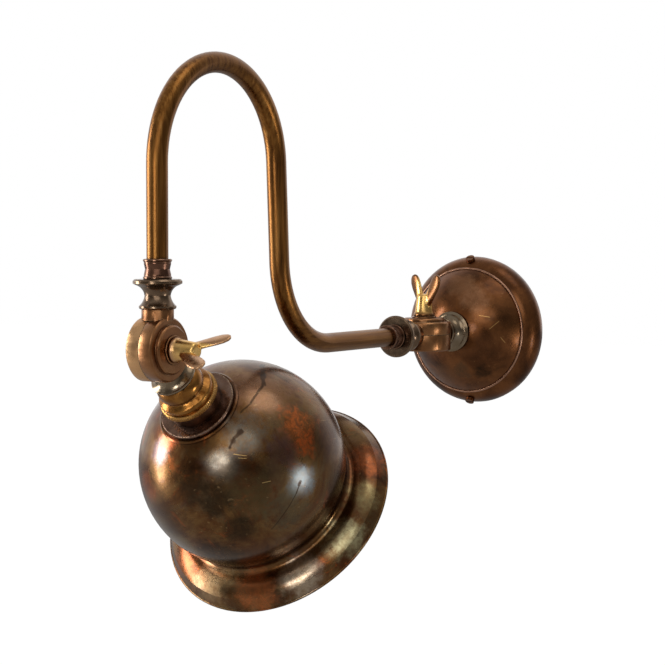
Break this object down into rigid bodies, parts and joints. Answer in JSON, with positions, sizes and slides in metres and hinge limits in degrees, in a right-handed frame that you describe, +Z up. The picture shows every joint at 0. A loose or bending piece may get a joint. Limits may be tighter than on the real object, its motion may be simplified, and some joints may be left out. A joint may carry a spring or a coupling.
{
  "type": "gooseneck wall sconce",
  "caption": "Adjustable wall light with a round rose, a swinging gooseneck tube arm, clamped knuckles with wing nuts and a tilting domed metal shade on a bayonet lampholder.",
  "frame": {"origin": "centre of the wall slots, on the wall plane behind the rose", "axes": "X right along the wall, +Y into the wall, +Z up; the arm reaches along -Y"},
  "size_m": [0.1522, 0.4089, 0.341],
  "materials": {
    "tube_brass": "satin aged brass",
    "rose_bronze": "mottled copper-brown patina",
    "dark_bronze": "dark gunmetal patina",
    "ferrule_bronze": "purple-brown patina",
    "collar_brass": "pale worn brass",
    "knuckle_bronze": "warm brown bronze",
    "bright_brass": "polished brass",
    "holder_brass": "brown brass",
    "shade_patina": "glossy heat-coloured patina",
    "plated_steel": "zinc plated",
    "plain_brass": "machined",
    "white_moulding": "moulded",
    "core_moulding": "glazed insulator",
    "spring_steel": "spring wire"
  },
  "bodies": {
    "wall_base": {"backplate": "plated_steel", "bracket_nipple": "plain_brass", "star_washer": "plated_steel", "nipple_locknut": "plated_steel", "rose_cover": "rose_bronze", "cover_screws": "rose_bronze", "terminal_block": "white_moulding", "terminal_tubes": "plain_brass", "terminal_screws": "plated_steel", "terminal_fixing_screw": "plated_steel", "earth_screw": "plated_steel", "wall_collar": "collar_brass", "wall_knuckle_base": "knuckle_bronze"},
    "arm": {"wall_knuckle_arm": "knuckle_bronze", "wall_clamp_bolt": "plated_steel", "wall_washer": "knuckle_bronze", "arm_root_collar": "dark_bronze", "arm_root_ferrule": "ferrule_bronze", "gooseneck_tube": "tube_brass", "arm_tip_ferrule": "ferrule_bronze", "arm_tip_collar": "dark_bronze", "lamp_knuckle_arm": "knuckle_bronze", "lamp_clamp_bolt": "plated_steel", "lamp_washer": "knuckle_bronze"},
    "wall_nut": {"wall_wing_nut": "bright_brass"},
    "lamp_head": {"lamp_knuckle_shade": "knuckle_bronze", "lamp_collar": "collar_brass", "lamp_nipple": "plain_brass", "lampholder_cap": "bright_brass", "knurled_ring": "bright_brass", "lampholder_skirt": "holder_brass", "lampholder_insert": "core_moulding", "plunger_spring_1": "spring_steel", "plunger_spring_2": "spring_steel", "upper_shade_ring": "holder_brass", "lower_shade_ring": "holder_brass", "shade": "shade_patina"},
    "lamp_nut": {"lamp_wing_nut": "bright_brass"},
    "plunger_1": {"contact_plunger_1": "plain_brass"},
    "plunger_2": {"contact_plunger_2": "plain_brass"}
  },
  "joints": [
    {"name": "arm_swing", "type": "hinge", "parent": "wall_base", "child": "arm", "pos_m": [0, -0.0805, 0], "axis": [0, 0, 1], "range_deg": [-85, 85]},
    {"name": "wall_nut_turn", "type": "hinge", "parent": "arm", "child": "wall_nut", "pos_m": [0, -0.0805, 0.02], "axis": [0, 0, 1], "range_deg": [0, 360]},
    {"name": "shade_tilt", "type": "hinge", "parent": "arm", "child": "lamp_head", "pos_m": [0, -0.39008, 0.00521], "axis": [1, 0, 0], "range_deg": [-140, 8]},
    {"name": "lamp_nut_turn", "type": "hinge", "parent": "arm", "child": "lamp_nut", "pos_m": [0.02, -0.39008, 0.00521], "axis": [1, 0, 0], "range_deg": [0, 360]},
    {"name": "plunger_1_press", "type": "slide", "parent": "lamp_head", "child": "plunger_1", "axis": [0, -0.7705, 0.6374], "range_m": [0, 0.003], "stiffness_N_per_m": 600, "springref_m": -0.003, "deforming": ["plunger_spring_1"]},
    {"name": "plunger_2_press", "type": "slide", "parent": "lamp_head", "child": "plunger_2", "axis": [0, -0.7705, 0.6374], "range_m": [0, 0.003], "stiffness_N_per_m": 600, "springref_m": -0.003, "deforming": ["plunger_spring_2"]}
  ]
}
